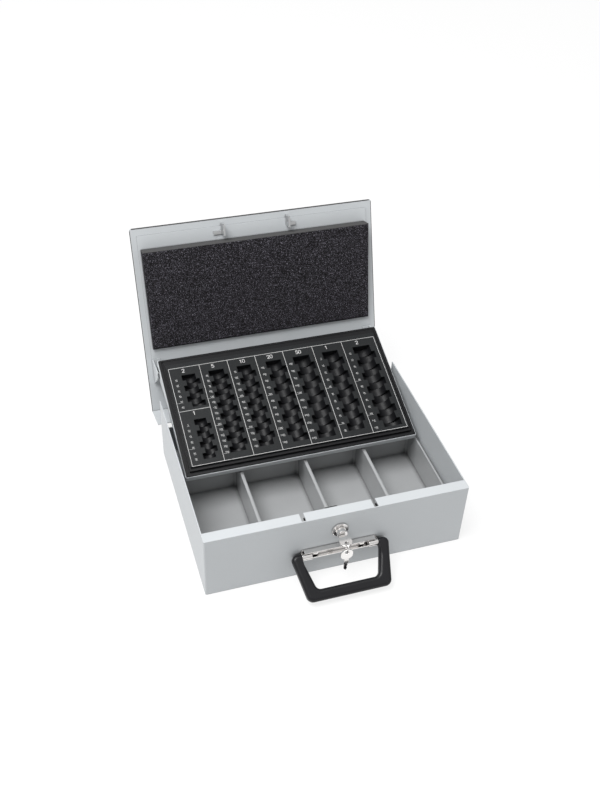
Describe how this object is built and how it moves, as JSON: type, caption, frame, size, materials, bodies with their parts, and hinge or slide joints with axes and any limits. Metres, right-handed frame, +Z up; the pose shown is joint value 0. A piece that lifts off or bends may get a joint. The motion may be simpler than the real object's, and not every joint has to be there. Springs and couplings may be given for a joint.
{
  "type": "cash box",
  "caption": "Steel cash box, lid open: foam-backed lid, swing-out coin counting tray, note bays, key lock with latch bar and a carrying handle.",
  "frame": {"origin": "middle of the base's footprint, on its underside", "axes": "+Z up, -Y towards the front wall with the lock and handle, +X to the right seen from the front"},
  "size_m": [0.355, 0.4733, 0.2888],
  "materials": {
    "grey_paint": "light grey powder coat, fine orange peel",
    "plain_steel": "zinc-plated steel, dull",
    "foam": "open-cell foam, charcoal",
    "dark_plastic": "charcoal moulded plastic with a fine grain",
    "grey_plastic": "glossy grey formed plastic",
    "black_plastic": "black moulded plastic",
    "plating": "bright nickel plating"
  },
  "bodies": {
    "base": {"base_shell": "grey_paint", "note_insert": "grey_plastic", "hinge_leaf_base": "plain_steel", "hinge_pin": "plain_steel", "lock_housing": "plating", "lock_nut": "plating", "latch_studs": "plain_steel", "handle_bracket": "plating", "handle_rivets": "plating", "handle_pin_left": "plain_steel", "handle_pin_right": "plain_steel"},
    "lid": {"lid_shell": "grey_paint", "lid_liner": "grey_paint", "lid_hook_left": "plain_steel", "lid_hook_right": "plain_steel", "foam_pad": "foam", "hinge_leaf_lid": "plain_steel", "tray_bracket_left": "grey_paint", "tray_bracket_right": "grey_paint"},
    "tray": {"tray_carrier": "grey_paint", "coin_tray": "dark_plastic", "tray_pin_left": "plain_steel", "tray_pin_right": "plain_steel"},
    "plug": {"lock_plug": "plating", "lock_cam": "plain_steel", "key": "plating", "key_ring": "plating"},
    "latch": {"latch_bar": "plain_steel"},
    "hanging_key": {"spare_key": "plating"},
    "handle": {"handle_grip": "black_plastic"}
  },
  "joints": [
    {"name": "lid_hinge", "type": "hinge", "parent": "base", "child": "lid", "pos_m": [0, 0.1405, 0.043], "axis": [1, 0, 0], "range_deg": [0, 108.3]},
    {"name": "tray_tilt", "type": "hinge", "parent": "lid", "child": "tray", "pos_m": [0, 0.18681, 0.10563], "axis": [1, 0, 0], "range_deg": [-120, 0]},
    {"name": "lock_turn", "type": "hinge", "parent": "base", "child": "plug", "pos_m": [0, -0.1355, 0.072], "axis": [0, 1, 0], "range_deg": [0, 90]},
    {"name": "latch_slide", "type": "slide", "parent": "base", "child": "latch", "axis": [1, 0, 0], "range_m": [0, 0.01131]},
    {"name": "hanging_key_swing", "type": "hinge", "parent": "plug", "child": "hanging_key", "pos_m": [0, -0.16496, 0.06122], "axis": [0, 1, 0], "range_deg": [-95, 30]},
    {"name": "handle_swing", "type": "hinge", "parent": "base", "child": "handle", "pos_m": [0, -0.1425, 0.04], "axis": [-1, 0, 0], "range_deg": [0, 110]}
  ],
  "couplings": [
    {"joint": "tray_tilt", "follows": "lid_hinge", "ratio": -1.108},
    {"joint": "lock_turn", "follows": "latch_slide", "rad_per_m": 138.84}
  ]
}
